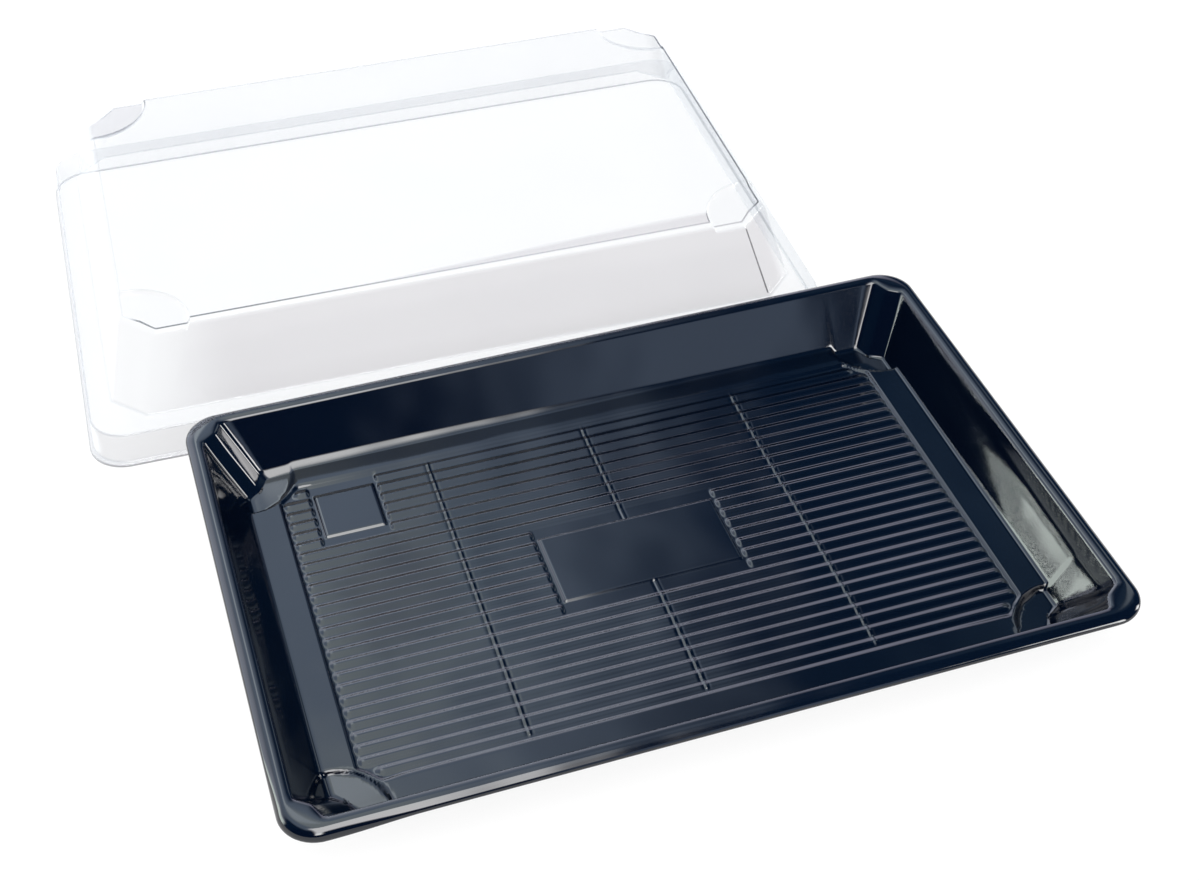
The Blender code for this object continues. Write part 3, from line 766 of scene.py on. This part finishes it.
def black_plastic():
    """Black polystyrene sheet, vacuum formed: deep glossy black with a cool navy cast.

    The formed sheet is never quite flat, so its reflections waver a little, and the mould's skin gives the
    gloss a faint fine grain.
    """
    material = bpy.data.materials.new("glossy black polystyrene")
    material.use_nodes = True
    tree = material.node_tree
    shader = tree.nodes["Principled BSDF"]
    shader.inputs["IOR"].default_value = 1.58
    place = node(tree, "ShaderNodeTexCoord").outputs["Object"]
    # The slow waver of a sheet formed over a cold mould, about 45 mm across
    waver = noise(tree, place, 22.0, 1.0, 0.4)
    # The mould's skin, 1.5 mm across
    grain = noise(tree, place, 650.0, 2.0, 0.6)
    slow = node(tree, "ShaderNodeBump", {"Height": waver, "Strength": 0.5, "Distance": 0.0016})
    skin = {"Height": grain, "Strength": 0.012, "Distance": 0.00003, "Normal": slow.outputs["Normal"]}
    fine = node(tree, "ShaderNodeBump", skin)
    tree.links.new(fine.outputs["Normal"], shader.inputs["Normal"])
    gloss = node(tree, "ShaderNodeMapRange", {"Value": grain, "To Min": 0.045, "To Max": 0.10})
    tree.links.new(gloss.outputs["Result"], shader.inputs["Roughness"])
    cast = mixed(tree, waver, colour("#01030A"), colour("#02060F"))
    tree.links.new(cast, shader.inputs["Base Color"])
    return material


def clear_film():
    """Clear polystyrene film: water clear with a faint grey cast, and painted dark hairlines at its bends.

    Seen at a low angle it thickens and turns pale, a painted sheen. Its walls get painted grey shade, greyer
    and denser than its top.
    """
    material = bpy.data.materials.new("clear polystyrene film")
    material.use_nodes = True
    tree = material.node_tree
    shader = tree.nodes["Principled BSDF"]
    shader.inputs["IOR"].default_value = 1.59
    shader.inputs["Roughness"].default_value = 0.06
    place = node(tree, "ShaderNodeTexCoord").outputs["Object"]
    crease = node(tree, "ShaderNodeAttribute", attribute_name="crease").outputs["Fac"]
    wall = node(tree, "ShaderNodeAttribute", attribute_name="wall").outputs["Fac"]
    # Slow unevenness left by drawing the film, about 60 mm across
    uneven = noise(tree, place, 16.0, 1.5, 0.5)
    # Painted grey shade: by the wall mark the film's colour goes to a darker violet grey
    shade_grey = mixed(tree, wall, colour("#7E848C"), colour("#747179"))
    graze = node(tree, "ShaderNodeLayerWeight", {"Blend": 0.5}).outputs["Facing"]
    # Painted sheen: at a low angle the colour turns pale, in place of the film's gloss outshining its grey
    bright = node(tree, "ShaderNodeMapRange", {"Value": graze, "From Min": 0.5, "From Max": 0.74},
                  interpolation_type="SMOOTHSTEP").outputs["Result"]
    gloss = mixed(tree, bright, shade_grey, colour("#D8DCE0"))
    # Painted dark hairlines along the crease mark
    tint = mixed(tree, crease, gloss, colour("#101114"))
    tree.links.new(tint, shader.inputs["Base Color"])
    # How dense the film is: by its painted-shade wall mark, a little uneven, more at a low angle and along
    # its painted hairlines
    low = worked(tree, "POWER", graze, 5.0)
    density = {"Value": wall, "To Min": 0.07, "To Max": 0.215}
    body = node(tree, "ShaderNodeMapRange", density, clamp=False).outputs["Result"]
    varied = worked(tree, "MULTIPLY_ADD", uneven, 0.03, body)
    edged = worked(tree, "MULTIPLY_ADD", low, 0.3, varied)
    lined = worked(tree, "MULTIPLY_ADD", crease, 0.7, edged, use_clamp=True)
    tree.links.new(lined, shader.inputs["Alpha"])
    ripple = node(tree, "ShaderNodeBump", {"Height": uneven, "Strength": 0.4, "Distance": 0.001})
    tree.links.new(ripple.outputs["Normal"], shader.inputs["Normal"])
    return material


def add_floor():
    """A wide plain white table just under the object, lit from below, so that shadows on it are faint."""
    size = 30.0
    mesh = bpy.data.meshes.new("floor")
    corners = [(-size, -size, 0), (size, -size, 0), (size, size, 0), (-size, size, 0)]
    mesh.from_pydata(corners, [], [(0, 1, 2, 3)])
    floor = bpy.data.objects.new("floor", mesh)
    bpy.context.scene.collection.objects.link(floor)
    material = bpy.data.materials.new("white lit table")
    material.use_nodes = True
    shader = material.node_tree.nodes["Principled BSDF"]
    shader.inputs["Base Color"].default_value = colour(TABLE_SHADE)
    shader.inputs["Roughness"].default_value = 0.9
    shader.inputs["Specular IOR Level"].default_value = 0.0
    shader.inputs["Emission Color"].default_value = colour("#FFFFFF")
    shader.inputs["Emission Strength"].default_value = TABLE_GLOW
    mesh.materials.append(material)


def add_camera():
    """The camera at the photograph's place."""
    data = bpy.data.cameras.new("camera")
    data.lens = CAMERA_LENS
    data.sensor_width = 36.0
    camera = bpy.data.objects.new("camera", data)
    camera.location = CAMERA_PLACE
    camera.rotation_euler = [math.radians(angle) for angle in CAMERA_TURN]
    bpy.context.scene.collection.objects.link(camera)
    bpy.context.scene.camera = camera


def add_lights():
    """A soft overhead light that the gloss doesn't mirror, for the table and the film."""
    soft = bpy.data.lights.new("soft light", "SUN")
    soft.energy = SOFT_LIGHT
    soft.angle = math.radians(100)
    placed = bpy.data.objects.new("soft light", soft)
    placed.rotation_euler = (math.radians(12), math.radians(-14), 0)
    placed.visible_glossy = False
    bpy.context.scene.collection.objects.link(placed)


def add_room():
    """The room as soft bright and dark patches by direction, where a later patch covers the ones before it.

    Each limit is a soft step, and a patch's share is the product of its steps. The camera itself and the
    light on dull surfaces see plain white.
    """
    world = bpy.data.worlds.new("room")
    bpy.context.scene.world = world
    world.use_nodes = True
    tree = world.node_tree
    background = tree.nodes["Background"]
    view = node(tree, "ShaderNodeTexCoord").outputs["Generated"]
    x, y, z = node(tree, "ShaderNodeSeparateXYZ", {0: view}).outputs
    degrees = 180 / math.pi
    compass = worked(tree, "MULTIPLY", worked(tree, "ARCTAN2", y, x), degrees)
    height = worked(tree, "MULTIPLY", worked(tree, "ARCSINE", z), degrees)
    parts = {"x": x, "y": y, "z": z, "compass": compass, "height": height}
    seen = colour(ROOM_DARK)
    for limits, code, strength in ROOM_PATCHES:
        share = 1.0
        for part, dark, bright in limits:
            edge = {"Value": parts[part], "From Min": dark, "From Max": bright}
            step = node(tree, "ShaderNodeMapRange", edge, interpolation_type="SMOOTHSTEP").outputs["Result"]
            share = worked(tree, "MULTIPLY", step, share)
        seen = mixed(tree, share, seen, colour(code, strength))
    rays = node(tree, "ShaderNodeLightPath").outputs
    plain = worked(tree, "MAXIMUM", rays["Is Camera Ray"], rays["Is Diffuse Ray"])
    shown = mixed(tree, plain, seen, colour("#FFFFFF"))
    tree.links.new(shown, background.inputs["Color"])


def main():
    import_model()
    add_camera()
    add_lights()
    add_room()
    add_floor()
    bpy.context.scene.view_settings.view_transform = "Standard"

    tray = tray_sheet()
    add_thickness(tray, TRAY_SHEET)
    tray.data.materials.append(black_plastic())
    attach(tray, "root")
    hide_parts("tray")

    lid = lid_sheet()
    add_thickness(lid, LID_SHEET)
    lid.data.materials.append(clear_film())
    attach(lid, "root")
    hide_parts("lid")


main()
